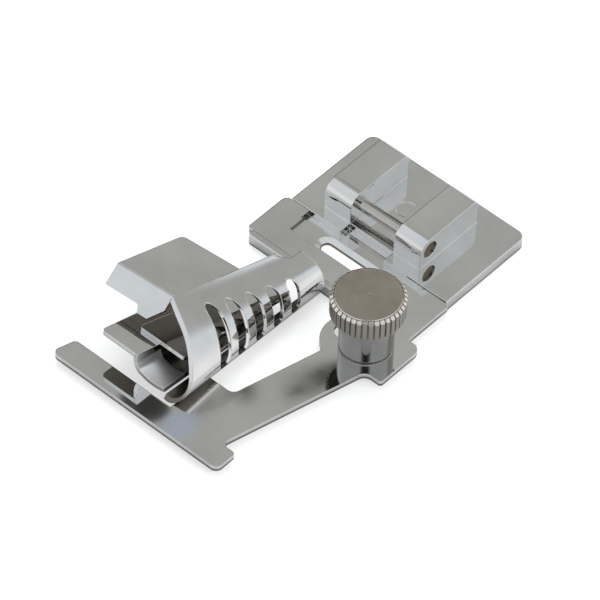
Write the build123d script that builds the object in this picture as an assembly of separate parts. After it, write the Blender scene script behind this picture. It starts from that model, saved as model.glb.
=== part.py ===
from build123d import *
from math import atan, cos, degrees, hypot, pi, radians, sin
import os

# A binder presser foot. Millimetres, +X to the right, +Y away from the person sewing, +Z up.
# The origin lies on the underside of the sole, in the middle of the needle opening.

# Fits
slide_gap = 0.08        # beside the sliding plate, and under it
turn_gap = 0.05         # around the screw's shank
weld_gap = 0.08         # between the nested sheets of the scroll
face_gap = 0.02         # between faces that the screw presses together
cut_over = 1.0          # how far a cut runs past the face it starts from

# Sole casting
sole_width = 28.6
sole_shift = 1.4        # middle of the sole, right of the needle line
sole_height = 1.87
sole_back = 19.8
sole_corner = 1.4
groove_back = 2.62      # rear wall of the cross groove
groove_width = 8.2
groove_floor = 0.8
lip_depth = 1.05        # the low wall in front of the groove
lip_end_gap = 0.15      # from the end of the lip to the plate's neck at full travel
edge_round = 0.15

# Needle opening
needle_length = 9.5
needle_width = 1.8
bevel_width = 0.85
bevel_depth = 0.45

# Ears and snap pin
ear_gap = 8.0
ear_shift = 0.25        # middle of the gap, right of the needle line
ear_width = 4.8
ear_length = 12.4
ear_back = 17.0
ear_top_chamfer = 0.8
pin_radius = 0.95
pin_y = 6.75
pin_z = 4.35
pin_head_radius = 1.35
pin_head_depth = 0.7
pin_recess = 0.3
mark_radius = 1.45      # ejector mark on the floor between the ears
mark_y = 12.0
mark_depth = 0.06

# Lug that carries the clamp screw, under the plate
screw_x = 12.47
screw_y = -10.43
screw_radius = 1.5
lug_radius = 3.05

# Sliding plate
plate_thickness = 0.9
plate_left = -13.85
plate_right = 16.3
window_left = -9.6
window_right = 8.35
window_front = -1.8
neck_left = 6.1
lobe_x = 10.6
lobe_y = -11.2
lobe_radius = 4.5
tab_right = 18.65
tab_back = -6.05
tab_front = -14.45
arm_top_x = 15.86       # right edge of the arm where it leaves the tab
arm_lean = 0.251        # sideways run of the arm for each millimetre forward
arm_width = 6.75        # measured along X
web_left = 0.8
web_back = -29.6
bar_back = -37.15
bar_front = -40.93
bar_left = -17.9
bar_right = 12.7
bar_lean = 0.3
slot_travel_left = 2.3  # how far the plate slides to the left and to the right
slot_travel_right = 3.8
slot_side_gap = 0.3

# Thumbscrew and collar
collar_radius = 3.86
collar_height = 6.15
head_radius = 5.28
head_height = 3.76
head_face_radius = 4.69
head_chamfer = 0.5
knurl_count = 36
knurl_depth = 0.28
knurl_land = 0.62       # share of each pitch that stays at full radius
knurl_floor = 0.12      # share of each pitch at the bottom of the groove
screw_tip = 0.15        # end of the shank above the underside of the sole

# Scroll, a cone rolled from one sheet with a wing and a flap
sheet = 0.5
mouth_front = -36.65    # lowest point of the mouth
mouth_lean = 1.0556     # run of the mouth for each millimetre of height
mouth_right = 1.92
mouth_width = 9.4
mouth_low = 1.75
mouth_height = 8.35
exit_gap = 0.1          # from the scroll's narrow end to the lip
exit_right = 1.57
exit_width = 5.17
exit_low = 0.3
exit_height = 6.45
exit_cut_length = 4.5   # the corner cut off at the narrow end, from its front end
exit_cut_back = 2.27    # and from there straight back
exit_cut_width = 1.7
exit_cut_start = 0.9
wing_start = 0.37       # share of the crest behind the wing, seen from the narrow end
wing_width = 9.7
wing_skew = 3.7         # degrees
flap_drop = 36.0        # degrees under the level
flap_length = 3.3
flap_step = 1.1
flap_tip_width = 3.4
wing_round = 0.8

# Air slots in the scroll
slot_count = 5
slot_width = 1.8
slot_first = 0.26       # share of the way from the mouth to the narrow end
slot_pitch = 0.13
slot_top = 0.18         # share of the way round from the crest
slot_top_step = 0.0425
slot_bottom = 0.80
slot_lead = 0.037       # how far the first slot's top runs ahead of its bottom, as a share

# Lower guide and tongue
guide_sheet = 0.7
guide_top = 6.1
guide_left = -12.95
guide_bend = -7.0
guide_front = -36.15
guide_back = -21.0
leaf_back = -16.0
guide_dip = 0.147       # fall for each millimetre towards the back
guide_run = 0.153       # sideways run of its left edge for each millimetre
leaf_end = -1.3
tongue_sheet = 0.6
tongue_front = -32.3
tongue_left = -9.6
tongue_right = -1.3
tongue_back = -11.5
tongue_back_right = -0.4
tongue_slant = 4.6

# Sizes worked out from those above
sole_left = sole_shift - sole_width / 2
sole_right = sole_shift + sole_width / 2
groove_front = groove_back - groove_width
lip_front = groove_front - lip_depth
lip_right = neck_left - slot_travel_left - lip_end_gap
ear_inner_left = ear_shift - ear_gap / 2
ear_inner_right = ear_shift + ear_gap / 2
ear_front = ear_back - ear_length
ear_nose = pin_y - ear_front
ear_height = pin_z + ear_nose
plate_bottom = groove_floor + face_gap
plate_top = plate_bottom + plate_thickness
plate_back = groove_back - slide_gap
plate_front = groove_front + slide_gap
collar_bottom = plate_top + face_gap
collar_top = collar_bottom + collar_height
head_bottom = collar_top + face_gap
exit_y = lip_front - exit_gap

# The rolled section from the crest round to the lower edge, as shares of its width and height
mouth_shape = [(0, 1), (0.25, 0.88), (0.52, 0.745), (0.875, 0.449), (1, 0.19), (0.875, 0.02), (0.7, 0)]
exit_shape = [(0, 1), (0.32, 0.86), (0.66, 0.795), (0.92, 0.61), (1, 0.36), (0.94, 0.08), (0.7, 0)]

# The guide's leaf from the bend down to its free edge
leaf_shape = [(0, 1), (0, 0.74), (0.035, 0.33), (0.12, 0.12), (0.27, 0.0), (0.54, -0.09), (1, 0)]


def rounded(corners):
    """A flat outline from (x, y, corner radius)."""
    face = make_face(Polyline([(x, y) for x, y, _ in corners], close=True))
    for x, y, radius in corners:
        if radius > 0:
            face = fillet(face.vertices().sort_by_distance(Vector(x, y))[0], radius)
    return face


def prism(face, low, high):
    """A flat outline raised from one height to another."""
    return extrude(Pos(0, 0, low) * face, high - low, dir=(0, 0, 1))


def block(left, right, front, back, low, high):
    """A plain box between two corners."""
    corners = [(left, front, 0), (right, front, 0), (right, back, 0), (left, back, 0)]
    return prism(rounded(corners), low, high)


def along_x(radius, start, end):
    """A round bar along the snap pin's axis."""
    bar = Cylinder(radius, end - start, rotation=(0, 90, 0))
    return Pos((start + end) / 2, pin_y, pin_z) * bar


# Sole

def ear(inner, side):
    """One ear: a nose round the pin, a flat top and a chamfered back."""
    nose_top = Vector(pin_y, ear_height)
    profile = [
        Line((ear_front, groove_floor), (ear_front, pin_z)),
        ThreePointArc((ear_front, pin_z), (pin_y - ear_nose * cos(pi / 4), pin_z + ear_nose * sin(pi / 4)), nose_top),
        Polyline(nose_top, (ear_back - ear_top_chamfer, ear_height), (ear_back, ear_height - ear_top_chamfer),
                 (ear_back, groove_floor), (ear_front, groove_floor)),
    ]
    body = extrude(Plane.YZ * make_face(profile), side * ear_width)
    return Pos(inner, 0, 0) * body


def needle_opening():
    """The long opening with its bevelled rim, as a solid to cut away."""
    rim_length = needle_length + 2 * bevel_width
    rim_width = needle_width + 2 * bevel_width
    through = prism(SlotOverall(needle_length, needle_width), -1, groove_floor)
    narrow = Pos(0, 0, groove_floor - bevel_depth) * SlotOverall(needle_length, needle_width)
    wide = Pos(0, 0, groove_floor) * SlotOverall(rim_length, rim_width)
    return through + loft([narrow, wide], ruled=True)


def lug():
    """The round-ended lug in front of the lip, with the clamp screw's hole."""
    neck = block(screw_x - lug_radius, screw_x + lug_radius, screw_y, lip_front + lip_depth, 0, groove_floor)
    end = prism(Pos(screw_x, screw_y) * Circle(lug_radius), 0, groove_floor)
    return neck + end


def sole():
    """The casting: base, cross groove, ears, needle opening and lug."""
    back = sole_corner
    outline = rounded([
        (sole_left, lip_front, edge_round * 4), (sole_right, lip_front, edge_round * 4),
        (sole_right, sole_back, back), (sole_left, sole_back, back),
    ])
    body = prism(outline, 0, sole_height)
    top_edges = body.faces().sort_by(Axis.Z)[-1].edges()
    body = fillet(top_edges, edge_round)
    body -= block(sole_left - 1, sole_right + 1, groove_front, groove_back, groove_floor, sole_height + 1)
    body -= block(lip_right, sole_right + 1, lip_front - 1, groove_back, groove_floor, sole_height + 1)
    body -= block(ear_inner_left, ear_inner_right, groove_back - 1, ear_front, groove_floor, sole_height + 1)
    body += ear(ear_inner_left, -1)
    body += ear(ear_inner_right, 1)
    body += lug()
    body -= needle_opening()
    body -= prism(Pos(ear_shift, mark_y) * Circle(mark_radius), sole_height - mark_depth, sole_height + 1)
    screw_hole = Pos(screw_x, screw_y) * Circle(screw_radius + turn_gap)
    body -= prism(screw_hole, -1, sole_height + 1)
    outer_left = ear_inner_left - ear_width
    outer_right = ear_inner_right + ear_width
    head = pin_head_radius
    body -= along_x(pin_radius, outer_left - 1, outer_right + 1)
    body -= along_x(head, outer_left - 1, outer_left + pin_head_depth + pin_recess)
    body -= along_x(head, outer_right - pin_head_depth - pin_recess, outer_right + 1)
    return body


def snap_pin():
    """The pin between the ears, with an upset head sunk in each outer face."""
    left = ear_inner_left - ear_width + pin_recess
    right = ear_inner_right + ear_width - pin_recess
    pin = along_x(pin_radius, left, right)
    pin += along_x(pin_head_radius, left, left + pin_head_depth)
    pin += along_x(pin_head_radius, right - pin_head_depth, right)
    return pin


# Sliding plate

def arm_right(y):
    """Right edge of the slanted arm at a given y."""
    return arm_top_x - (tab_front - y) * arm_lean


def plate_outline():
    """The flat blank of the plate, without its openings."""
    arm_left_top = arm_right(lobe_y - lobe_radius) - arm_width
    corners = [
        (plate_left, plate_back, 1.0), (plate_left, plate_front, 0.4),
        (neck_left, plate_front, 0.6), (neck_left, lobe_y, 0),
        (arm_left_top, lobe_y - lobe_radius, 0), (arm_right(web_back) - arm_width, web_back, 1.2),
        (web_left, web_back, 0), (web_left, bar_back, 0),
        (bar_left + (bar_back - bar_front) * bar_lean, bar_back, 0.8), (bar_left, bar_front, 0.9),
        (bar_right, bar_front, 1.1), (bar_right, bar_back, 0.5),
        (arm_right(bar_back), bar_back, 0.8), (arm_top_x, tab_front, 1.3),
        (tab_right, tab_front, 0.5), (tab_right, tab_back, 1.3),
        (plate_right, tab_back, 0.3), (plate_right, plate_back, 0.6),
    ]
    return rounded(corners) + Pos(lobe_x, lobe_y) * Circle(lobe_radius)


def screw_slot():
    """The slot along X that lets the plate slide past the screw."""
    length = slot_travel_left + slot_travel_right + 2 * screw_radius
    middle = screw_x + (slot_travel_left - slot_travel_right) / 2
    return Pos(middle, screw_y) * SlotOverall(length, 2 * (screw_radius + slot_side_gap))


def binder_plate():
    """The sheet that slides in the groove and carries the scroll."""
    window = rounded([
        (window_left, window_front, 0.5), (window_right, window_front, 0.5),
        (window_right, plate_back + cut_over, 0), (window_left, plate_back + cut_over, 0),
    ])
    body = prism(plate_outline() - window - screw_slot(), plate_bottom, plate_top)
    return body - scroll_core()


# Scroll

def at_mouth(u, w):
    """A point of the mouth from shares of its width and height."""
    height = w * mouth_height
    return (mouth_right - (1 - u) * mouth_width, mouth_front + height * mouth_lean, mouth_low + height)


def at_exit(u, w):
    """A point of the narrow end from shares of its width and height."""
    return (exit_right - (1 - u) * exit_width, exit_y, exit_low + w * exit_height)


def inward(points, distance):
    """The same open section, moved square to itself towards its right-hand side."""
    moved = []
    for i, (x, y, z) in enumerate(points):
        x0, _, z0 = points[max(i - 1, 0)]
        x1, _, z1 = points[min(i + 1, len(points) - 1)]
        length = hypot(x1 - x0, z1 - z0)
        moved.append((x + (z1 - z0) / length * distance, y, z - (x1 - x0) / length * distance))
    return moved


def strip_face(points, thickness, lean=0.0):
    """The cut end of a rolled sheet, in a plane that leans back by a given run."""
    inner = [(x, y + (z - z0) * lean, z)
             for (x, y, z), (_, _, z0) in zip(inward(points, thickness), points)]
    outside = Spline(*points)
    inside = Spline(*inner)
    return make_face([outside, inside, Line(outside @ 0, inside @ 0), Line(outside @ 1, inside @ 1)])


def scroll_core():
    """Everything inside the scroll's outer skin, which the plate's web is cut to."""
    ends = []
    for points in ([at_mouth(*p) for p in mouth_shape], [at_exit(*p) for p in exit_shape]):
        skin = Spline(*points)
        ends.append(make_face([skin, Line(skin @ 1, skin @ 0)]))
    return loft(ends, ruled=True)


def cone_point(turn, share):
    """A point on the outer skin: how far round from the crest, how far back from the mouth."""
    front = Spline(*[at_mouth(*p) for p in mouth_shape]) @ turn
    back = Spline(*[at_exit(*p) for p in exit_shape]) @ turn
    return front + (back - front) * share


def air_slot(index):
    """One slanted slot with round ends, cut sideways through the right wall."""
    share = slot_first + index * slot_pitch
    lead = slot_lead * (1 - index / (slot_count - 1))
    top = cone_point(slot_top + index * slot_top_step, share - lead)
    bottom = cone_point(slot_bottom, share)
    rise = hypot(top.Y - bottom.Y, top.Z - bottom.Z)
    lean = degrees(atan((top.Y - bottom.Y) / (top.Z - bottom.Z)))
    shape = Rot(0, 0, 90 - lean) * SlotOverall(rise, slot_width)
    middle = Pos(0, (top.Y + bottom.Y) / 2, (top.Z + bottom.Z) / 2)
    start = Pos(top.X - slot_width, 0, 0)
    return start * middle * extrude(Plane.YZ * shape, mouth_width)


def crest_direction():
    """Unit vector along the fold at the top of the scroll, from the mouth back."""
    return (Vector(*at_exit(*exit_shape[0])) - Vector(*at_mouth(*mouth_shape[0]))).normalized()


def wing_and_flap():
    """The flat wing left of the crest and the flap bent down from its front edge."""
    corner = Vector(*at_mouth(*mouth_shape[0]))
    crest = crest_direction()
    length = (Vector(*at_exit(*exit_shape[0])) - corner).length * wing_start
    across = Vector(cos(radians(wing_skew)), sin(radians(wing_skew)), 0)
    flat = Plane(corner, x_dir=across, z_dir=across.cross(crest))
    run = crest.dot(flat.x_dir) * length
    deep = crest.dot(flat.y_dir) * length
    wing = rounded([
        (0, 0, 0), (run, deep, 0), (run - wing_width, deep, wing_round), (-wing_width, 0, 0),
    ])
    forward = across.cross(Vector(0, 0, 1))
    down = forward * cos(radians(flap_drop)) - Vector(0, 0, sin(radians(flap_drop)))
    slope = Plane(corner, x_dir=across, z_dir=down.cross(across))
    flap = rounded([
        (0, 0, 0), (-wing_width, 0, 0), (-wing_width, -flap_length, 0.3),
        (-flap_tip_width - 0.5, -flap_length, 0.3), (-flap_tip_width, -flap_length - flap_step, 0.3),
        (-flap_tip_width / 2, -flap_length - flap_step, 0.3), (0, -flap_length + flap_step, 0),
    ])
    return extrude(flat * wing, -sheet) + extrude(slope * flap, -sheet)


def exit_corner():
    """The corner that is cut off the roof beside the narrow end."""
    corner = Vector(*at_exit(*exit_shape[0]))
    left = corner.X - exit_cut_start
    right = left + exit_cut_width
    outline = rounded([
        (left - cut_over, exit_y - exit_cut_length, 0), (left, exit_y - exit_cut_length, 0),
        (right, exit_y - exit_cut_back, 0.4), (right, exit_y + cut_over, 0),
        (left - cut_over, exit_y + cut_over, 0),
    ])
    return prism(outline, corner.Z - exit_height / 2, corner.Z + exit_height / 2)


def scroll():
    """The rolled cone with its wing, flap, air slots and cut corner."""
    mouth = strip_face([at_mouth(*p) for p in mouth_shape], sheet, mouth_lean)
    narrow = strip_face([at_exit(*p) for p in exit_shape], sheet)
    body = loft([mouth, narrow], ruled=True)
    body -= exit_corner()
    for index in range(slot_count):
        body -= air_slot(index)
    return body + wing_and_flap()


# Lower guide and tongue

def guide_plane():
    """The plane of the lower wing's upper face, which falls towards the back."""
    return Plane((0, guide_front, guide_top), x_dir=(1, 0, 0), z_dir=(0, guide_dip, 1))


def seat_height(y):
    """Height of the scroll's inner skin at its lowest line, plus the weld gap."""
    share = (y - mouth_front) / (exit_y - mouth_front)
    return mouth_low + (exit_low - mouth_low) * share + sheet + weld_gap


def leaf_section(y):
    """The leaf's outer line at one y, scaled with the scroll's cone."""
    share = (y - mouth_front) / (exit_y - mouth_front)
    narrowing = 1 - share * (1 - exit_width / mouth_width)
    seat = seat_height(y)
    top = guide_top - (y - guide_front) * guide_dip
    points = []
    for u, w in leaf_shape:
        x = guide_bend + u * (leaf_end - guide_bend)
        points.append((mouth_right - (mouth_right - x) * narrowing, y, seat + w * (top - seat)))
    return points


def lower_guide():
    """A flat lower wing whose inner edge curls down into the mouth."""
    slope = hypot(1, guide_dip)
    length = (guide_back - guide_front) * slope
    back_bend = leaf_section(guide_back)[0][0]
    wing = rounded([
        (guide_left, 0, 0.6), (guide_bend + guide_sheet / 2, 0, 0),
        (back_bend + guide_sheet / 2, length, 0),
        (guide_left + (guide_back - guide_front) * guide_run, length, 0.6),
    ])
    body = extrude(guide_plane() * wing, -guide_sheet)
    ends = [strip_face(leaf_section(y), -guide_sheet) for y in (guide_front, leaf_back)]
    return body + loft(ends, ruled=True)


def tongue():
    """The thin plate on the lower wing that reaches into the cone."""
    slope = hypot(1, guide_dip)
    front = (tongue_front - guide_front) * slope
    back = (tongue_back - guide_front) * slope
    outline = rounded([
        (tongue_left, front, 0.5), (tongue_right, front, 0.3),
        (tongue_back_right, back, 0.6), (tongue_left + tongue_slant, back, 0.5),
    ])
    return extrude(guide_plane() * outline, tongue_sheet)


# Clamp

def clamp_collar():
    """The smooth sleeve between the knurled head and the plate."""
    ring = Circle(collar_radius) - Circle(screw_radius + turn_gap)
    body = prism(Pos(screw_x, screw_y) * ring, collar_bottom, collar_top)
    rims = body.edges().filter_by(GeomType.CIRCLE).group_by(lambda edge: edge.radius)[-1]
    return fillet(rims, 2 * edge_round)


def knurl_outline():
    """The head's outline: flat-topped teeth all the way round."""
    pitch = 2 * pi / knurl_count
    land = knurl_land / 2
    floor = 0.5 - knurl_floor / 2
    bottom = head_radius - knurl_depth
    tooth = [(-floor, bottom), (-land, head_radius), (land, head_radius), (floor, bottom)]
    points = []
    for step in range(knurl_count):
        for share, radius in tooth:
            angle = (step + share) * pitch
            points.append((radius * cos(angle), radius * sin(angle)))
    return make_face(Polyline(points, close=True))


def thumbscrew():
    """The knurled head and its shank."""
    height = head_height
    side = [
        (0, 0), (head_face_radius, 0), (head_radius + 0.1, head_chamfer),
        (head_radius + 0.1, height - head_chamfer), (head_face_radius, height), (0, height),
    ]
    turned = revolve(Plane.XZ * make_face(Polyline(side, close=True)), Axis.Z)
    head = extrude(knurl_outline(), height) & turned
    shank = Pos(0, 0, screw_tip - head_bottom) * extrude(Circle(screw_radius), head_bottom - screw_tip)
    return Pos(screw_x, screw_y, head_bottom) * (head + shank)


os.makedirs("parts", exist_ok=True)
export_step(sole(), "parts/sole.step")
export_step(snap_pin(), "parts/snap_pin.step")
export_step(binder_plate(), "parts/binder_plate.step")
export_step(scroll(), "parts/scroll.step")
export_step(lower_guide(), "parts/lower_guide.step")
export_step(tongue(), "parts/tongue.step")
export_step(clamp_collar(), "parts/clamp_collar.step")
export_step(thumbscrew(), "parts/thumbscrew.step")
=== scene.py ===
import math

import bmesh
import bpy
from mathutils import Matrix, Vector


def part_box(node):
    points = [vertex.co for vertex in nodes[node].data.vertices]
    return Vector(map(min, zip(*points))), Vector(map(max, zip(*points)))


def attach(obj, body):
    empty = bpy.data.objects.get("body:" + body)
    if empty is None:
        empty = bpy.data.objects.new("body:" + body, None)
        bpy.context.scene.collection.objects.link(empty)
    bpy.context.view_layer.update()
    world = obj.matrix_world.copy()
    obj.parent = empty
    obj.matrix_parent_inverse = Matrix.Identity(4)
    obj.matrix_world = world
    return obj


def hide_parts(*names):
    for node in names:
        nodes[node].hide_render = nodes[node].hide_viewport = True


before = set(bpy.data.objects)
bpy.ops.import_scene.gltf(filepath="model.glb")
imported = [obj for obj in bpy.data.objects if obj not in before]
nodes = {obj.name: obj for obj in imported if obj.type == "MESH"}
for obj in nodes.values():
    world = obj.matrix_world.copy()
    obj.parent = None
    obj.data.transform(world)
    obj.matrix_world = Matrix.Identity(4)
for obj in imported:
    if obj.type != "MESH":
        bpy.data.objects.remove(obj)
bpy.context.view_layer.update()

mm = 0.001
print("frame loaded")


# camera: the photo's angle, worked out from the foot's straight edges

cameraSetup = {
    "azimuth": 40.183,       # degrees to the right of straight in front
    "elevation": 48.261,
    "roll": 2.236,
    "distance": 676.95,      # mm from the target
    "target": (-0.365, -9.59, 0.0),
    "lens": 294.15,
    "sensor": 36,
    "near": 0.01,            # metres
}


def addCamera(setup):
    az = math.radians(setup["azimuth"])
    el = math.radians(setup["elevation"])
    roll = math.radians(setup["roll"])
    look = Vector((-math.sin(az) * math.cos(el), math.cos(az) * math.cos(el), -math.sin(el)))
    flatRight = Vector((math.cos(az), math.sin(az), 0))
    flatUp = flatRight.cross(look)
    right = flatRight * math.cos(roll) + flatUp * math.sin(roll)
    up = flatUp * math.cos(roll) - flatRight * math.sin(roll)
    place = Vector(setup["target"]) * mm - look * setup["distance"] * mm
    data = bpy.data.cameras.new("photoCamera")
    data.lens = setup["lens"]
    data.sensor_width = setup["sensor"]
    data.clip_start = setup["near"]
    camera = bpy.data.objects.new("photoCamera", data)
    turn = Matrix((right, up, -look)).transposed().to_4x4()
    camera.matrix_world = Matrix.Translation(place) @ turn
    bpy.context.scene.collection.objects.link(camera)
    bpy.context.scene.camera = camera


addCamera(cameraSetup)
bpy.context.scene.view_settings.view_transform = "Standard"
print("camera placed")


# small helpers for node trees, materials and meshes

def wire(tree, source, target):
    tree.links.new(source, target)


def addNode(tree, kind, **values):
    node = tree.nodes.new(kind)
    for key, value in values.items():
        setattr(node, key, value)
    return node


def feed(tree, socket, value):
    # a socket is wired, anything else becomes the socket's own value
    if isinstance(value, bpy.types.NodeSocket):
        wire(tree, value, socket)
    else:
        socket.default_value = value


def mathNode(tree, operation, first, second=0.0, third=0.0):
    node = addNode(tree, "ShaderNodeMath", operation=operation)
    for socket, value in zip(node.inputs, (first, second, third)):
        feed(tree, socket, value)
    return node.outputs[0]


def vectorNode(tree, operation, *values):
    node = addNode(tree, "ShaderNodeVectorMath", operation=operation)
    for socket, value in zip(node.inputs, values):
        feed(tree, socket, value)
    return node.outputs["Value" if operation in ("LENGTH", "DOT_PRODUCT") else "Vector"]


def splitVector(tree, vector):
    node = addNode(tree, "ShaderNodeSeparateXYZ")
    wire(tree, vector, node.inputs[0])
    return node.outputs


def mapRange(tree, value, low, high, outLow, outHigh, smooth=False):
    node = addNode(tree, "ShaderNodeMapRange")
    if smooth:
        node.interpolation_type = "SMOOTHSTEP"
    wire(tree, value, node.inputs["Value"])
    for label, number in (("From Min", low), ("From Max", high),
                          ("To Min", outLow), ("To Max", outHigh)):
        feed(tree, node.inputs[label], number)
    return node.outputs["Result"]


def mixColour(tree, factor, first, second):
    mix = addNode(tree, "ShaderNodeMix", data_type="RGBA")
    wire(tree, factor, mix.inputs["Factor"])
    for socket, colour in ((mix.inputs["A"], first), (mix.inputs["B"], second)):
        feed(tree, socket, (*colour, 1) if isinstance(colour, tuple) else colour)
    return mix.outputs["Result"]


def mixNumber(tree, factor, first, second):
    mix = addNode(tree, "ShaderNodeMix")
    wire(tree, factor, mix.inputs["Factor"])
    feed(tree, mix.inputs["A"], first)
    feed(tree, mix.inputs["B"], second)
    return mix.outputs["Result"]


def noise(tree, vector, **values):
    node = addNode(tree, "ShaderNodeTexNoise")
    wire(tree, vector, node.inputs["Vector"])
    for label, value in values.items():
        feed(tree, node.inputs[label], value)
    return node.outputs["Fac"]


def newMaterial(name):
    material = bpy.data.materials.new(name)
    material.use_nodes = True
    return material, material.node_tree, material.node_tree.nodes["Principled BSDF"]


def addSheet(name, corners, material):
    # one flat four-sided sheet of the studio
    mesh = bpy.data.meshes.new(name)
    mesh.from_pydata(corners, [], [(0, 1, 2, 3)])
    mesh.materials.append(material)
    sheet = bpy.data.objects.new(name, mesh)
    bpy.context.scene.collection.objects.link(sheet)
    return sheet


def showOnlyInPolish(sheet):
    sheet.visible_camera = False
    sheet.visible_diffuse = False
    sheet.visible_shadow = False


def darker(colour, share):
    return tuple(share * part for part in colour)


# studio: a white tent with grey overhead, the dark camera and a white table

studio = {
    "stops": [               # height on the world's sphere from 0 below to 1 above, colour
        (0.0, (0.93, 0.96, 1.0)),
        (0.5, (0.93, 0.96, 1.0)),
        (0.54, (1.0, 1.0, 1.0)),
        (0.66, (1.0, 1.0, 1.0)),
        (0.78, (0.80, 0.84, 0.88)),
        (1.0, (0.80, 0.84, 0.88)),
    ],
    # edge: cosines where the patch starts and where it is full
    "patches": [
        {"towards": (-0.43, 0.57, 0.70), "edge": (0.86, 0.93), "colour": (0.455, 0.455, 0.44)},
        {"towards": (0.10, 0.72, 0.68), "edge": (0.905, 0.985), "colour": (0.46, 0.46, 0.45)},
        {"towards": (0.43, -0.51, 0.75), "edge": (0.945, 0.985), "colour": (0.03, 0.028, 0.026)},
    ],
    "floorSize": 0.8,        # metres
    "floorDrop": 0.02,       # mm under the sole, so that the two never share a plane
    "floorPaint": 0.5,
    "floorGlow": 0.56,       # added for the camera only, which makes the background white
    "floorMirrored": 0.1,    # added in what polish mirrors
    "paperRough": 0.9,
}


def buildWorld(setup):
    world = bpy.data.worlds.new("studio")
    bpy.context.scene.world = world
    world.use_nodes = True
    tree = world.node_tree
    tree.nodes.clear()
    out = addNode(tree, "ShaderNodeOutputWorld")
    back = addNode(tree, "ShaderNodeBackground")
    direction = addNode(tree, "ShaderNodeTexCoord").outputs["Generated"]
    ramp = addNode(tree, "ShaderNodeValToRGB")
    height = mapRange(tree, splitVector(tree, direction)["Z"], -1, 1, 0, 1)
    wire(tree, height, ramp.inputs["Fac"])
    for i, (place, colour) in enumerate(setup["stops"]):
        stop = ramp.color_ramp.elements[i] if i < 2 else ramp.color_ramp.elements.new(place)
        stop.position = place
        stop.color = (*colour, 1)
    colour = ramp.outputs["Color"]
    for patch in setup["patches"]:
        nearness = vectorNode(tree, "DOT_PRODUCT", direction, Vector(patch["towards"]).normalized())
        share = mapRange(tree, nearness, *patch["edge"], 0, 1, True)
        colour = mixColour(tree, share, colour, patch["colour"])
    wire(tree, colour, back.inputs["Color"])
    wire(tree, back.outputs[0], out.inputs["Surface"])


def addFloor(setup):
    half = setup["floorSize"] / 2
    low = -setup["floorDrop"] * mm
    material, tree, shader = newMaterial("tablePaper")
    paint = setup["floorPaint"]
    shader.inputs["Base Color"].default_value = (paint, paint, paint, 1)
    shader.inputs["Roughness"].default_value = setup["paperRough"]
    shader.inputs["Specular IOR Level"].default_value = 0.0
    shader.inputs["Emission Color"].default_value = (1, 1, 1, 1)
    path = addNode(tree, "ShaderNodeLightPath")
    mirrored = mathNode(tree, "MULTIPLY", path.outputs["Is Glossy Ray"], setup["floorMirrored"])
    seen = path.outputs["Is Camera Ray"]
    glow = mathNode(tree, "MULTIPLY_ADD", seen, setup["floorGlow"], mirrored)
    wire(tree, glow, shader.inputs["Emission Strength"])
    corners = [(-half, -half, low), (half, -half, low), (half, half, low), (-half, half, low)]
    floor = addSheet("table", corners, material)


# a black card stands behind the foot on the left, out of the picture: only polish sees it

darkCard = {
    "middle": (-0.085, 0.062),   # metres
    "facing": (0.85, -0.5),
    "width": 0.16,
    "height": 0.068,
    "foot": 0.0005,
    "colour": (0.02, 0.018, 0.016),
}


def addCard(setup):
    x, y = setup["facing"]
    along = Vector((-y, x, 0)).normalized() * setup["width"] / 2
    middle = Vector((*setup["middle"], setup["foot"]))
    top = Vector((0, 0, setup["height"]))
    material, _, shader = newMaterial("blackPaper")
    shader.inputs["Base Color"].default_value = (*setup["colour"], 1)
    shader.inputs["Roughness"].default_value = studio["paperRough"]
    corners = [middle - along, middle + along, middle + along + top, middle - along + top]
    card = addSheet("darkCard", corners, material)
    showOnlyInPolish(card)


# pressed sheet is never quite flat, which shows only in what it mirrors

sheetLean = (-0.05, 0.06, 0)


# soft shapes hung high at the back left, out of the picture, that the plate's arm and bar mirror

hung = {
    "height": 75,            # mm
    "glow": 0.4,
    # place is where the middle of a shape shows on the plate, size its own width and length, in mm;
    # soft is how far out it starts to fade, from 0 to 1, and dense how much it hides at its middle
    "shapes": {
        "knobDark": {
            "place": (12.0, -19.6), "size": (5.6, 17), "turn": -14,
            "colour": (0.02, 0.018, 0.016), "soft": 0.5, "dense": 0.95,
        },
        "webDark": {
            "place": (5.2, -28.3), "size": (10, 8), "turn": 0,
            "colour": (0.02, 0.02, 0.02), "soft": 0.0, "dense": 1.0,
        },
        "streakDark": {
            "place": (4.0, -33.0), "size": (3.4, 12), "turn": -20,
            "colour": (0.03, 0.03, 0.03), "soft": 0.3, "dense": 0.85,
        },
        "mouthBlue": {
            "place": (3.9, -38.8), "size": (6, 8.5), "turn": 0,
            "colour": (0.38, 0.43, 0.53), "soft": 0.7, "dense": 0.8,
        },
        "mouthDark": {
            "place": (-2.2, -39.0), "size": (9.5, 9), "turn": 0,
            "colour": (0.02, 0.018, 0.016), "soft": 0.8, "dense": 1.0,
        },
    },
}


def makeHungPaper(setup):
    # one paper for all the shapes, which read their colour and fade from the object
    material, tree, shader = newMaterial("hungPaper")
    shader.inputs["Roughness"].default_value = studio["paperRough"]
    shader.inputs["Emission Strength"].default_value = setup["glow"]
    colour = addNode(tree, "ShaderNodeObjectInfo").outputs["Color"]
    wire(tree, colour, shader.inputs["Base Color"])
    wire(tree, colour, shader.inputs["Emission Color"])
    flat = addNode(tree, "ShaderNodeTexCoord").outputs["UV"]
    centred = vectorNode(tree, "MULTIPLY_ADD", flat, (2, 2, 0), (-1, -1, 0))
    reach = vectorNode(tree, "LENGTH", centred)
    soft = addNode(tree, "ShaderNodeAttribute", attribute_type="OBJECT", attribute_name="soft")
    dense = addNode(tree, "ShaderNodeAttribute", attribute_type="OBJECT", attribute_name="dense")
    fade = mapRange(tree, reach, soft.outputs["Fac"], 1, dense.outputs["Fac"], 0, True)
    wire(tree, fade, shader.inputs["Alpha"])
    return material


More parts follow.
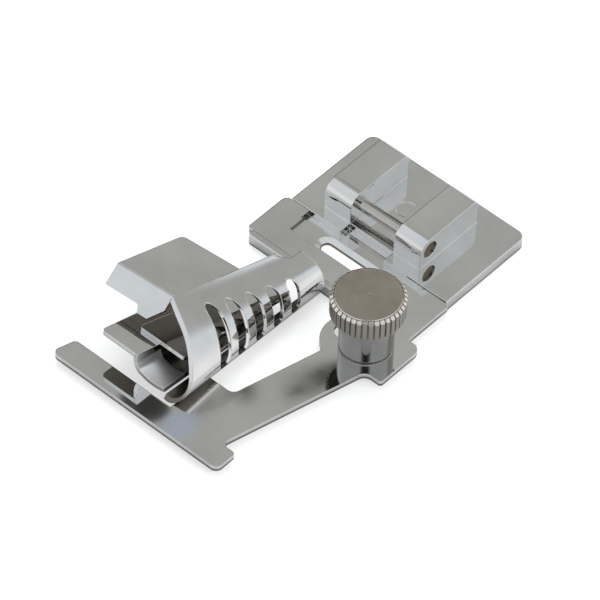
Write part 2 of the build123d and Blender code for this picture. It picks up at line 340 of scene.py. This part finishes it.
def addHungShapes(setup):
    material = makeHungPaper(setup)
    eye = bpy.context.scene.camera.matrix_world.translation / mm
    normal = (Vector((0, 0, 1)) + Vector(sheetLean)).normalized()
    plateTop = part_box("binder_plate")[1][2] / mm
    unitCorners = ((0, 0), (1, 0), (1, 1), (0, 1))
    for name, look in setup["shapes"].items():
        middle = Vector((*look["place"], plateTop))
        ray = -(eye - middle).normalized().reflect(normal)
        middle += ray * (setup["height"] - middle.z) / ray.z
        turn = Matrix.Rotation(math.radians(look["turn"]), 3, "Z")
        across, along = look["size"]
        corners = []
        for u, v in unitCorners:
            offset = Vector(((u - 0.5) * across, (v - 0.5) * along, 0))
            corners.append((middle + turn @ offset) * mm)
        shape = addSheet(name, corners, material)
        uv = shape.data.uv_layers.new(name="UVMap")
        for loop, place in zip(uv.data, unitCorners):
            loop.uv = place
        shape.color = (*look["colour"], 1)
        shape["soft"] = look["soft"]
        shape["dense"] = look["dense"]
        showOnlyInPolish(shape)


lamps = {
    "overhead": {"place": (-0.25, 0.3, 0.55), "size": 0.5, "power": 3.0},
    "side": {"place": (0.45, 0.1, 0.3), "size": 0.35, "power": 1.2},
}


def addLamps(setup):
    for name, lamp in setup.items():
        data = bpy.data.lights.new(name, "AREA")
        data.size = lamp["size"]
        data.energy = lamp["power"]
        obj = bpy.data.objects.new(name, data)
        obj.location = lamp["place"]
        obj.rotation_euler = (-Vector(lamp["place"])).to_track_quat("-Z", "Y").to_euler()
        obj.visible_glossy = False
        bpy.context.scene.collection.objects.link(obj)


buildWorld(studio)
addFloor(studio)
addCard(darkCard)
addHungShapes(hung)
addLamps(lamps)
print("studio lit")


# finishes

def newGroup(name, inputs, outputs):
    group = bpy.data.node_groups.new(name, "ShaderNodeTree")
    for way, sockets in (("INPUT", inputs), ("OUTPUT", outputs)):
        for label, kind in sockets.items():
            group.interface.new_socket(label, in_out=way, socket_type="NodeSocket" + kind)
    return group, addNode(group, "NodeGroupInput"), addNode(group, "NodeGroupOutput")


plating = {
    "cloudScale": 75,
    "cloudDetail": 5,
    "cloudRough": 0.65,
    "cloudEdge": (0.3, 0.7),
    "cloudShade": 0.82,
    "smearScale": 120,
    "smearDetail": 4,
    "smearEdge": (0.45, 0.75),
    "rippleDetail": 2,
    "rippleDepth": 0.1,      # mm
    "edgeSamples": 6,
}

# cosines of how a face is turned: up to the first it counts in full, from the second not at all
faceTurn = {
    "inward": (-0.35, -0.15),
    "down": (-0.4, -0.2),
    "upright": (0.4, 0.6),
}

boxFade = 0.97               # share of a box's half size where its edge starts to fade


def buildPolishMarks(look):
    # what all the plating shares: slow clouds in its tone, faint smears, and a ripple
    group, entry, leave = newGroup(
        "polishMarks",
        {"Ripple Scale": "Float"},
        {"Smear": "Float", "Ripple": "Float", "Cloud": "Float"})
    place = addNode(group, "ShaderNodeTexCoord").outputs["Object"]
    cloud = noise(group, place, Scale=look["cloudScale"], Detail=look["cloudDetail"],
                  Roughness=look["cloudRough"])
    smear = noise(group, place, Scale=look["smearScale"], Detail=look["smearDetail"])
    ripple = noise(group, place, Scale=entry.outputs["Ripple Scale"], Detail=look["rippleDetail"])
    wire(group, mapRange(group, cloud, *look["cloudEdge"], 0, 1), leave.inputs["Cloud"])
    wire(group, mapRange(group, smear, *look["smearEdge"], 0, 1, True), leave.inputs["Smear"])
    wire(group, ripple, leave.inputs["Ripple"])
    return group


def buildDullShadeSide():
    # painted shade with a rougher finish: a rolled sheet's inside, told by its axis, and its underside
    # are made darker
    group, entry, leave = newGroup(
        "dullShadeSide",
        {"Axis Point": "Vector", "Axis Direction": "Vector"},
        {"Mask": "Float"})
    place = addNode(group, "ShaderNodeTexCoord").outputs["Object"]
    normal = addNode(group, "ShaderNodeNewGeometry").outputs["True Normal"]
    away = vectorNode(group, "SUBTRACT", place, entry.outputs["Axis Point"])
    along = vectorNode(group, "PROJECT", away, entry.outputs["Axis Direction"])
    outward = vectorNode(group, "NORMALIZE", vectorNode(group, "SUBTRACT", away, along))
    facing = vectorNode(group, "DOT_PRODUCT", outward, normal)
    inside = mapRange(group, facing, *faceTurn["inward"], 1, 0)
    under = mapRange(group, splitVector(group, normal)["Z"], *faceTurn["down"], 1, 0)
    wire(group, mathNode(group, "MAXIMUM", inside, under), leave.inputs["Mask"])
    return group


def buildInsideBox():
    # 1 inside a box given by its middle and half sizes
    group, entry, leave = newGroup(
        "insideBox",
        {"Middle": "Vector", "Half": "Vector"},
        {"Mask": "Float"})
    place = addNode(group, "ShaderNodeTexCoord").outputs["Object"]
    offset = vectorNode(group, "SUBTRACT", place, entry.outputs["Middle"])
    away = splitVector(group, vectorNode(group, "ABSOLUTE", offset))
    half = splitVector(group, entry.outputs["Half"])
    shares = []
    for axis in range(3):
        fadeStart = mathNode(group, "MULTIPLY", half[axis], boxFade)
        shares.append(mapRange(group, away[axis], fadeStart, half[axis], 1, 0))
    flat = mathNode(group, "MULTIPLY", shares[0], shares[1])
    wire(group, mathNode(group, "MULTIPLY", flat, shares[2]), leave.inputs["Mask"])
    return group


def buildLowRimShade():
    # painted shade on the lower part of a piece's upright faces, which mirror the table's shade
    group, entry, leave = newGroup(
        "lowRimShade",
        {"Full Below": "Float", "None Above": "Float"},
        {"Mask": "Float"})
    place = splitVector(group, addNode(group, "ShaderNodeTexCoord").outputs["Object"])
    normal = splitVector(group, addNode(group, "ShaderNodeNewGeometry").outputs["True Normal"])
    below = entry.outputs["Full Below"]
    above = entry.outputs["None Above"]
    low = mapRange(group, place["Z"], below, above, 1, 0)
    tilt = mathNode(group, "ABSOLUTE", normal["Z"])
    upright = mapRange(group, tilt, *faceTurn["upright"], 1, 0)
    wire(group, mathNode(group, "MULTIPLY", low, upright), leave.inputs["Mask"])
    return group


def placeGroup(tree, group, values):
    # one use of a shared group, with the material's own values
    node = addNode(tree, "ShaderNodeGroup", node_tree=group)
    for label, value in values.items():
        node.inputs[label].default_value = value
    return node.outputs


polishMarks = buildPolishMarks(plating)
dullShadeSide = buildDullShadeSide()
insideBox = buildInsideBox()
lowRimShade = buildLowRimShade()


# masks that patches of another look are laid through

def dullShadeMask(tree, patch):
    direction = Vector(patch["axisDirection"]).normalized()
    values = {"Axis Point": patch["axisPoint"], "Axis Direction": direction}
    return placeGroup(tree, dullShadeSide, values)["Mask"]


def boxMask(tree, patch):
    values = {"Middle": Vector(patch["middle"]) * mm, "Half": Vector(patch["half"]) * mm}
    return placeGroup(tree, insideBox, values)["Mask"]


def rimShadeMask(tree, patch):
    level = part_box(patch["node"])[0][2] + patch["height"] * mm
    fade = patch["fade"] * mm
    return placeGroup(tree, lowRimShade, {"Full Below": level - fade, "None Above": level + fade})["Mask"]


brightPlating = (0.8, 0.8, 0.79)
# painted shade: the dark colour that a rolled sheet's inside and undersides get, with a rougher finish
dullShadeLook = {"mask": dullShadeMask, "colour": (0.17, 0.155, 0.135), "rough": 0.3}

# axis points in metres
scrollInside = {
    **dullShadeLook, "axisPoint": (-0.0029, -0.0315, 0.0059), "axisDirection": (2.0, 24.8, -2.7),
}
underside = {
    # an axis far below, so that only the underside counts
    **dullShadeLook, "axisPoint": (0, 0, -1), "axisDirection": (1, 0, 0),
}

# middles, halves, heights and fades in mm
# a rougher, hazier patch on the scoop's left, its colour also lightened as painted light
scoopHazeAndLight = {
    "mask": boxMask, "middle": (-6.5, -35.5, 1.5), "half": (5.5, 3.5, 3),
    "colour": (0.85, 0.85, 0.84), "rough": 0.36,
}
# painted shade along the lower edges of the plate and of the sole
plateRimShade = {
    "mask": rimShadeMask, "node": "binder_plate", "height": 0.38, "fade": 0.06,
    "colour": (0.22, 0.20, 0.18), "rough": 0.2,
}
soleRimShade = {
    "mask": rimShadeMask, "node": "sole", "height": 0.3, "fade": 0.06,
    "colour": (0.26, 0.25, 0.24), "rough": 0.2,
}
slotWall = {
    "mask": boxMask, "middle": (0, 0, 0.1), "half": (5.2, 1.2, 0.28),
    "colour": (0.22, 0.18, 0.14), "rough": 0.3,
}
pinEnds = {
    "mask": boxMask, "middle": (8.9, 6.75, 4.35), "half": (0.35, 1.5, 1.5),
    "colour": (0.17, 0.13, 0.09), "rough": 0.3,
}

# edge is the radius, in mm, that sharp edges are shaded with
chromeFinishes = {
    "castChrome": {
        "colour": brightPlating, "rough": 0.06, "smear": 0.05, "ripple": 0.02, "rippleScale": 220,
        "edge": 0.2, "patches": [soleRimShade, slotWall],
    },
    "sheetChrome": {
        "colour": brightPlating, "rough": 0.05, "smear": 0.05, "ripple": 0.03, "rippleScale": 160,
        "edge": 0.18, "patches": [plateRimShade], "lean": sheetLean,
    },
    "scrollChrome": {
        "colour": brightPlating, "rough": 0.045, "smear": 0.04, "ripple": 0.012, "rippleScale": 160,
        "edge": 0.18, "patches": [scrollInside],
    },
    "guideChrome": {
        "colour": brightPlating, "rough": 0.045, "smear": 0.04, "ripple": 0.012, "rippleScale": 160,
        "edge": 0.12, "patches": [scoopHazeAndLight, underside],
    },
    "collarChrome": {
        "colour": (0.34, 0.33, 0.32), "rough": 0.1, "smear": 0.06, "ripple": 0.004, "rippleScale": 200,
        "edge": 0.2, "patches": [],
    },
    "pinSteel": {
        "colour": (0.52, 0.50, 0.47), "rough": 0.12, "smear": 0.06, "ripple": 0.01, "rippleScale": 500,
        "edge": 0.05, "patches": [pinEnds],
    },
}


def makeChrome(name, look):
    material, tree, shader = newMaterial(name)
    shader.inputs["Metallic"].default_value = 1.0
    marks = placeGroup(tree, polishMarks, {"Ripple Scale": look["rippleScale"]})
    rough = mapRange(tree, marks["Smear"], 0, 1, look["rough"], look["rough"] + look["smear"])
    cloudy = darker(look["colour"], plating["cloudShade"])
    colour = mixColour(tree, marks["Cloud"], cloudy, look["colour"])
    for patch in look["patches"]:
        mask = patch["mask"](tree, patch)
        colour = mixColour(tree, mask, colour, patch["colour"])
        rough = mixNumber(tree, mask, rough, patch["rough"])
    wire(tree, colour, shader.inputs["Base Color"])
    wire(tree, rough, shader.inputs["Roughness"])
    edge = addNode(tree, "ShaderNodeBevel", samples=plating["edgeSamples"])
    edge.inputs["Radius"].default_value = look["edge"] * mm
    bump = addNode(tree, "ShaderNodeBump")
    bump.inputs["Strength"].default_value = look["ripple"]
    bump.inputs["Distance"].default_value = plating["rippleDepth"] * mm
    wire(tree, marks["Ripple"], bump.inputs["Height"])
    wire(tree, edge.outputs["Normal"], bump.inputs["Normal"])
    normal = bump.outputs["Normal"]
    if "lean" in look:
        normal = vectorNode(tree, "NORMALIZE", vectorNode(tree, "ADD", normal, look["lean"]))
    wire(tree, normal, shader.inputs["Normal"])
    return material


chrome = {name: makeChrome(name, look) for name, look in chromeFinishes.items()}


# thumbscrew: a turned body with its ridges set round it, dull nickel all over

nickel = {
    "face": (0.50, 0.44, 0.37),
    "blotchShade": 0.8,
    # painted shade: faces that don't look up, the ridges' sides, darker than the face
    "flankShade": (0.33, 0.305, 0.275),
    # the chamfer is rubbed smoother, and its lighter colour is a painted highlight
    "wornAndLit": (0.72, 0.68, 0.63),      # the turned chamfer round the face
    # painted shade between the ridges
    "valleyShade": (0.19, 0.17, 0.15),
    # painted shade on faces that look down
    "under": (0.06, 0.055, 0.05),
    "rough": (0.27, 0.40),
    "wornRough": 0.14,
    "blotchScale": 700,
    "blotchDetail": 5,
    "blotchEdge": (0.3, 0.7),
    "scratchScale": 900,
    "scratchBend": 3.0,
    "scratchShare": 0.7,
    "ringScale": 2600.0,
    "ringBend": 1.5,
    "ringDetail": 2,
    "markStrength": 0.5,
    "markDepth": 0.02,               # mm
    # how far a face looks up: where each mask starts and stops
    "sideTilt": (0.55, 0.65),
    "wornTilt": (0.3, 0.5),
    "underTilt": (-0.6, -0.4),
    # mm
    "wornFade": 0.1,
    "valleyGap": 0.05,
}

# sizes in mm
knurl = {
    "ridges": 40,
    "radius": 5.28,          # over the ridges
    "depth": 0.2,
    "height": 3.76,
    "faceRadius": 4.69,
    "chamfer": 0.5,
    "width": 0.74,           # at the foot of a ridge
    "narrow": 0.22,          # share of its width that a ridge loses towards its top
    "endGap": 0.04,
    "shank": 1.5,
    "dot": 0.2,
    "dotDepth": 0.08,
    "segments": 160,
    "sharpFrom": 25,         # degrees
}


def makeNickel(look, shape, centre):
    # dull turned face with rings round the screw's axis, a bright chamfer that is partly a painted
    # highlight, and painted shade on the flanks, between the ridges and under the head
    material, tree, shader = newMaterial("knurledNickel")
    shader.inputs["Metallic"].default_value = 1.0
    place = addNode(tree, "ShaderNodeTexCoord").outputs["Object"]
    shift = addNode(tree, "ShaderNodeMapping")
    shift.inputs["Location"].default_value = (-centre[0], -centre[1], 0)
    wire(tree, place, shift.inputs["Vector"])
    rings = addNode(tree, "ShaderNodeTexWave", wave_type="RINGS", rings_direction="Z")
    rings.inputs["Scale"].default_value = look["ringScale"]
    rings.inputs["Distortion"].default_value = look["ringBend"]
    rings.inputs["Detail"].default_value = look["ringDetail"]
    wire(tree, shift.outputs[0], rings.inputs["Vector"])
    blotch = noise(tree, place, Scale=look["blotchScale"], Detail=look["blotchDetail"])
    scratch = noise(tree, place, Scale=look["scratchScale"], Distortion=look["scratchBend"])

    normal = addNode(tree, "ShaderNodeNewGeometry").outputs["True Normal"]
    tilt = splitVector(tree, normal)["Z"]
    flat = vectorNode(tree, "MULTIPLY", shift.outputs[0], (1, 1, 0))
    reach = vectorNode(tree, "LENGTH", flat)
    top = shape["radius"] * mm
    face = shape["faceRadius"] * mm
    side = mapRange(tree, tilt, *look["sideTilt"], 1, 0)
    deep = mapRange(tree, reach, top - shape["depth"] * mm, top - look["valleyGap"] * mm, 1, 0)
    valleyShade = mathNode(tree, "MULTIPLY", deep, side)
    rim = mapRange(tree, reach, face - look["wornFade"] * mm, face, 0, 1)
    steep = mapRange(tree, tilt, *look["wornTilt"], 0, 1)
    wornAndLit = mathNode(tree, "MULTIPLY", rim, steep)
    # painted shade: faces that look down
    under = mapRange(tree, tilt, *look["underTilt"], 1, 0)

    base = mixColour(tree, blotch, darker(look["face"], look["blotchShade"]), look["face"])
    masks = {"flankShade": side, "wornAndLit": wornAndLit, "valleyShade": valleyShade, "under": under}
    for name, mask in masks.items():
        base = mixColour(tree, mask, base, look[name])
    wire(tree, base, shader.inputs["Base Color"])
    rough = mapRange(tree, blotch, *look["blotchEdge"], *look["rough"])
    rough = mixNumber(tree, wornAndLit, rough, look["wornRough"])
    wire(tree, rough, shader.inputs["Roughness"])
    marks = mathNode(tree, "MULTIPLY_ADD", scratch, look["scratchShare"], rings.outputs["Fac"])
    bump = addNode(tree, "ShaderNodeBump")
    bump.inputs["Strength"].default_value = look["markStrength"]
    bump.inputs["Distance"].default_value = look["markDepth"] * mm
    wire(tree, marks, bump.inputs["Height"])
    wire(tree, bump.outputs["Normal"], shader.inputs["Normal"])
    return material


def latheMesh(name, profile, centre, segments):
    # profile is (radius, height) in mm from the bottom of the axis to its top
    mesh = bpy.data.meshes.new(name)
    shape = bmesh.new()
    rings = []
    for radius, height in profile:
        if radius == 0:
            rings.append([shape.verts.new((centre[0], centre[1], height * mm))] * segments)
            continue
        ring = []
        for i in range(segments):
            turn = 2 * math.pi * i / segments
            x = centre[0] + radius * mm * math.cos(turn)
            y = centre[1] + radius * mm * math.sin(turn)
            ring.append(shape.verts.new((x, y, height * mm)))
        rings.append(ring)
    for low, high in zip(rings, rings[1:]):
        for i in range(segments):
            j = (i + 1) % segments
            corners = [low[i], low[j], high[j], high[i]]
            face = [v for k, v in enumerate(corners) if v not in corners[:k]]
            shape.faces.new(face)
    bmesh.ops.recalc_face_normals(shape, faces=shape.faces)
    shape.to_mesh(mesh)
    shape.free()
    return mesh


def buildRidgeTree():
    # one ridge with chamfered ends, set round the head and joined to the lathe body
    tree = bpy.data.node_groups.new("knurlRidges", "GeometryNodeTree")
    tree.interface.new_socket("Geometry", in_out="INPUT", socket_type="NodeSocketGeometry")
    inputs = {
        "Count": "Int", "Radius": "Float", "Depth": "Float", "Width": "Float", "Narrow": "Float",
        "Height": "Float", "Chamfer": "Float", "Centre": "Vector", "Material": "Material",
    }
    for label, kind in inputs.items():
        tree.interface.new_socket(label, in_out="INPUT", socket_type="NodeSocket" + kind)
    tree.interface.new_socket("Geometry", in_out="OUTPUT", socket_type="NodeSocketGeometry")
    entry = addNode(tree, "NodeGroupInput").outputs
    leave = addNode(tree, "NodeGroupOutput")

    size = addNode(tree, "ShaderNodeCombineXYZ")
    wire(tree, mathNode(tree, "MULTIPLY", entry["Depth"], 2.0), size.inputs[0])
    wire(tree, entry["Width"], size.inputs[1])
    wire(tree, entry["Height"], size.inputs[2])
    ridge = addNode(tree, "GeometryNodeMeshCube")
    wire(tree, size.outputs[0], ridge.inputs["Size"])
    for label, count in (("Vertices X", 2), ("Vertices Y", 2), ("Vertices Z", 4)):
        ridge.inputs[label].default_value = count

    # the two middle rows of corners go out to where the chamfers start
    x, y, z = splitVector(tree, addNode(tree, "GeometryNodeInputPosition").outputs[0])
    half = mathNode(tree, "MULTIPLY", entry["Height"], 0.5)
    halfway = mathNode(tree, "MULTIPLY", half, 0.5)
    isEnd = mathNode(tree, "GREATER_THAN", mathNode(tree, "ABSOLUTE", z), halfway)
    isOuter = mathNode(tree, "GREATER_THAN", x, 0.0)
    isOuterEnd = mathNode(tree, "MULTIPLY", isEnd, isOuter)
    cutBack = mathNode(tree, "MULTIPLY", isOuterEnd, entry["Chamfer"])
    isMiddle = mathNode(tree, "SUBTRACT", 1.0, isEnd)
    inset = mathNode(tree, "MULTIPLY", isMiddle, entry["Chamfer"])
    newHalf = mathNode(tree, "SUBTRACT", half, inset)
    newZ = mathNode(tree, "MULTIPLY", mathNode(tree, "SIGN", z), newHalf)
    kept = mathNode(tree, "SUBTRACT", 1.0, mathNode(tree, "MULTIPLY", isOuter, entry["Narrow"]))
    moved = addNode(tree, "ShaderNodeCombineXYZ")
    wire(tree, mathNode(tree, "SUBTRACT", x, cutBack), moved.inputs[0])
    wire(tree, mathNode(tree, "MULTIPLY", y, kept), moved.inputs[1])
    wire(tree, newZ, moved.inputs[2])
    shaped = addNode(tree, "GeometryNodeSetPosition")
    wire(tree, ridge.outputs["Mesh"], shaped.inputs["Geometry"])
    wire(tree, moved.outputs[0], shaped.inputs["Position"])

    ring = addNode(tree, "GeometryNodeMeshCircle")
    wire(tree, entry["Count"], ring.inputs["Vertices"])
    foot = mathNode(tree, "SUBTRACT", entry["Radius"], entry["Depth"])
    wire(tree, foot, ring.inputs["Radius"])
    index = addNode(tree, "GeometryNodeInputIndex")
    turn = addNode(tree, "ShaderNodeCombineXYZ")
    pitch = mathNode(tree, "DIVIDE", 2 * math.pi, entry["Count"])
    wire(tree, mathNode(tree, "MULTIPLY", index.outputs[0], pitch), turn.inputs[2])
    spin = addNode(tree, "FunctionNodeEulerToRotation")
    wire(tree, turn.outputs[0], spin.inputs[0])
    ridges = addNode(tree, "GeometryNodeInstanceOnPoints")
    wire(tree, ring.outputs[0], ridges.inputs["Points"])
    wire(tree, shaped.outputs[0], ridges.inputs["Instance"])
    wire(tree, spin.outputs[0], ridges.inputs["Rotation"])
    around = addNode(tree, "GeometryNodeTransform")
    wire(tree, ridges.outputs[0], around.inputs["Geometry"])
    wire(tree, entry["Centre"], around.inputs["Translation"])

    both = addNode(tree, "GeometryNodeJoinGeometry")
    wire(tree, around.outputs[0], both.inputs[0])
    wire(tree, entry["Geometry"], both.inputs[0])
    real = addNode(tree, "GeometryNodeRealizeInstances")
    wire(tree, both.outputs[0], real.inputs[0])
    coat = addNode(tree, "GeometryNodeSetMaterial")
    wire(tree, real.outputs[0], coat.inputs["Geometry"])
    wire(tree, entry["Material"], coat.inputs["Material"])
    wire(tree, coat.outputs[0], leave.inputs[0])
    return tree


def setInput(modifier, label, value):
    for item in modifier.node_group.interface.items_tree:
        if item.item_type == "SOCKET" and item.in_out == "INPUT" and item.name == label:
            modifier[item.identifier] = value


def addThumbscrew(shape, look):
    low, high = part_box("thumbscrew")
    centre = ((low[0] + high[0]) / 2, (low[1] + high[1]) / 2)
    tip = low[2] / mm
    top = high[2] / mm
    under = top - shape["height"]
    core = shape["radius"] - shape["depth"]
    face = shape["faceRadius"]
    drop = core - face
    dot = shape["dot"]
    dotDepth = shape["dotDepth"]
    profile = [
        (0, tip), (shape["shank"], tip), (shape["shank"], under),
        (face, under), (core, under + drop), (core, top - drop), (face, top),
        (dot + dotDepth, top), (dot, top - dotDepth), (0, top - dotDepth),
    ]
    material = makeNickel(look, shape, centre)
    turned = latheMesh("knurledScrew", profile, centre, shape["segments"])
    body = bpy.data.objects.new("knurledScrew", turned)
    bpy.context.scene.collection.objects.link(body)
    modifier = body.modifiers.new("ridges", "NODES")
    modifier.node_group = buildRidgeTree()
    values = {
        "Count": shape["ridges"], "Radius": shape["radius"] * mm, "Depth": shape["depth"] * mm,
        "Width": shape["width"] * mm, "Narrow": shape["narrow"],
        "Height": (shape["height"] - shape["endGap"]) * mm, "Chamfer": shape["chamfer"] * mm,
        "Centre": (*centre, (under + top) / 2 * mm), "Material": material,
    }
    for label, value in values.items():
        setInput(modifier, label, value)
    evaluated = body.evaluated_get(bpy.context.evaluated_depsgraph_get())
    solid = bpy.data.meshes.new_from_object(evaluated)
    body.modifiers.remove(modifier)
    body.data = solid
    solid.set_sharp_from_angle(angle=math.radians(shape["sharpFrom"]))
    for polygon in solid.polygons:
        polygon.use_smooth = True
    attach(body, "screw")
    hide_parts("thumbscrew")
    return material


nickelCoat = addThumbscrew(knurl, nickel)
print("thumbscrew turned and knurled")


# the wing's sheet runs further back than the solid's: one bare plate laid round it, in mm

wingPlate = {
    "corners": [(-7.444, -27.64), (-5.43, -16.68), (-15.17, -17.5), (-17.155, -28.27)],
    "rounded": 2,            # which corner
    "radius": 0.9,
    "steps": 8,
    "through": (-7.48, -27.836, 10.1),
    "normal": (-0.0103, 0.1586, 0.9873),
    "over": 0.03,
    "thick": 0.56,
}


def wingOutline(look):
    outline = []
    count = len(look["corners"])
    for i, corner in enumerate(look["corners"]):
        here = Vector(corner)
        if i != look["rounded"]:
            outline.append(here)
            continue
        last = Vector(look["corners"][i - 1])
        following = Vector(look["corners"][(i + 1) % count])
        before = here + (last - here).normalized() * look["radius"]
        after = here + (following - here).normalized() * look["radius"]
        for step in range(look["steps"] + 1):
            t = step / look["steps"]
            outline.append(before * (1 - t) ** 2 + here * 2 * t * (1 - t) + after * t ** 2)
    return outline


def addWingPlate(look):
    normal = Vector(look["normal"]).normalized()
    through = Vector(look["through"])
    top = []
    for x, y in wingOutline(look):
        z = through.z - (normal.x * (x - through.x) + normal.y * (y - through.y)) / normal.z
        top.append(Vector((x, y, z)) + normal * look["over"])
    bottom = [point - normal * look["thick"] for point in top]
    size = len(top)
    faces = [tuple(range(size)), tuple(range(2 * size - 1, size - 1, -1))]
    faces += [(i, i + size, (i + 1) % size + size, (i + 1) % size) for i in range(size)]
    mesh = bpy.data.meshes.new("wingPlate")
    mesh.from_pydata([point * mm for point in top + bottom], [], faces)
    shape = bmesh.new()
    shape.from_mesh(mesh)
    bmesh.ops.recalc_face_normals(shape, faces=shape.faces)
    shape.to_mesh(mesh)
    shape.free()
    mesh.materials.append(chrome["scrollChrome"])
    plate = bpy.data.objects.new("wingPlate", mesh)
    bpy.context.scene.collection.objects.link(plate)
    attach(plate, "slider")


addWingPlate(wingPlate)
print("wing laid on")


finishOf = {
    "sole": chrome["castChrome"],
    "snap_pin": chrome["pinSteel"],
    "binder_plate": chrome["sheetChrome"],
    "scroll": chrome["scrollChrome"],
    "lower_guide": chrome["guideChrome"],
    "tongue": chrome["guideChrome"],
    "clamp_collar": chrome["collarChrome"],
    "thumbscrew": nickelCoat,
}

for name, material in finishOf.items():
    for slot in nodes[name].material_slots:
        slot.material = material
print("finishes made")
